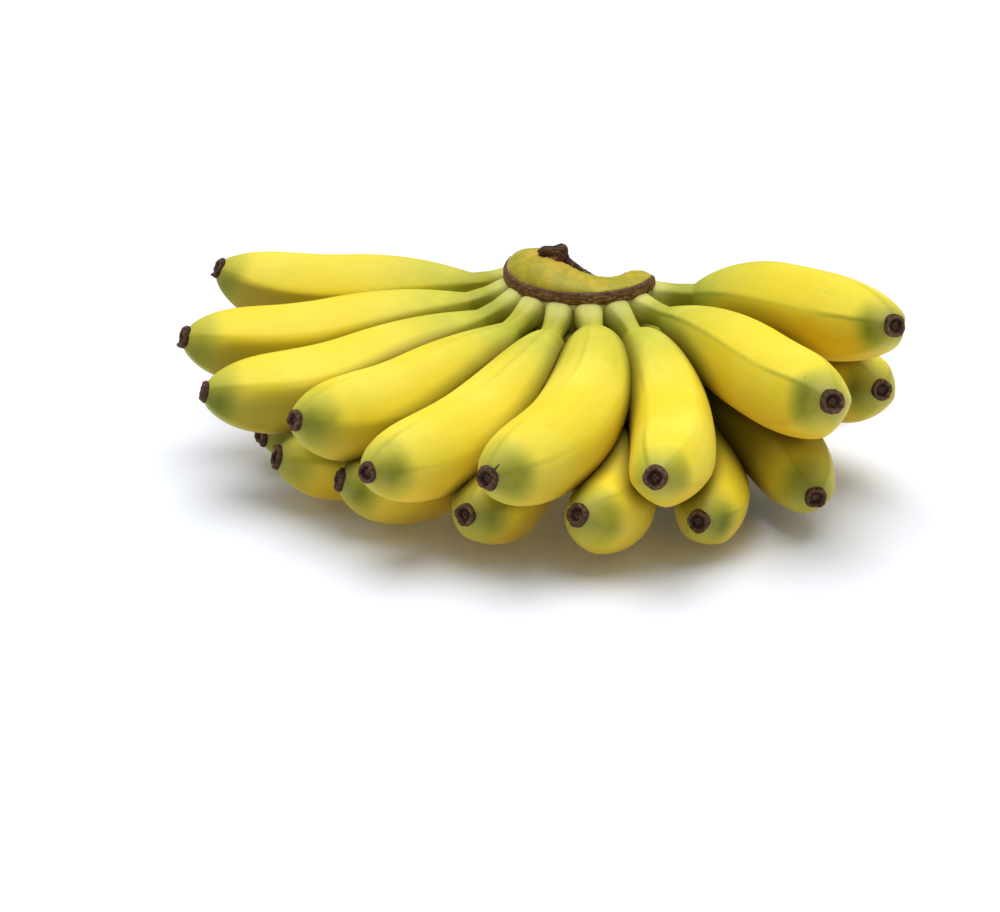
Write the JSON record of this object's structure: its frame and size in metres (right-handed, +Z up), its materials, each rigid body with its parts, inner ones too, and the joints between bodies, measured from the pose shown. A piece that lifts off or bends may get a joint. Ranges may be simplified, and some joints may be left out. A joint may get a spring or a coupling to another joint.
{
  "type": "baby banana hand",
  "caption": "Hand of small yellow bananas in two rows on one crescent-shaped crown, with dried blossom ends, lying on a surface.",
  "frame": {"origin": "middle of the hand's bounding box, on the surface that the hand lies on", "axes": "+Z up, -Y towards the side that the finger tips fan out to, +X to the viewer's right along the hand's width"},
  "size_m": [0.2465, 0.1725, 0.0784],
  "materials": {
    "peel": "waxy semi-matte yellow banana peel, greener towards the stalk and the tip",
    "crown_skin": "yellow-green skin with a dark brown corky scar band and dried torn fibres"
  },
  "bodies": {
    "root": {"crown": "crown_skin", "upper_banana_1": "peel", "upper_banana_2": "peel", "upper_banana_3": "peel", "upper_banana_4": "peel", "upper_banana_5": "peel", "upper_banana_6": "peel", "upper_banana_7": "peel", "upper_banana_8": "peel", "upper_banana_9": "peel", "lower_banana_1": "peel", "lower_banana_2": "peel", "lower_banana_3": "peel", "lower_banana_4": "peel", "lower_banana_5": "peel", "lower_banana_6": "peel", "lower_banana_7": "peel", "lower_banana_8": "peel", "lower_banana_9": "peel"}
  },
  "joints": []
}
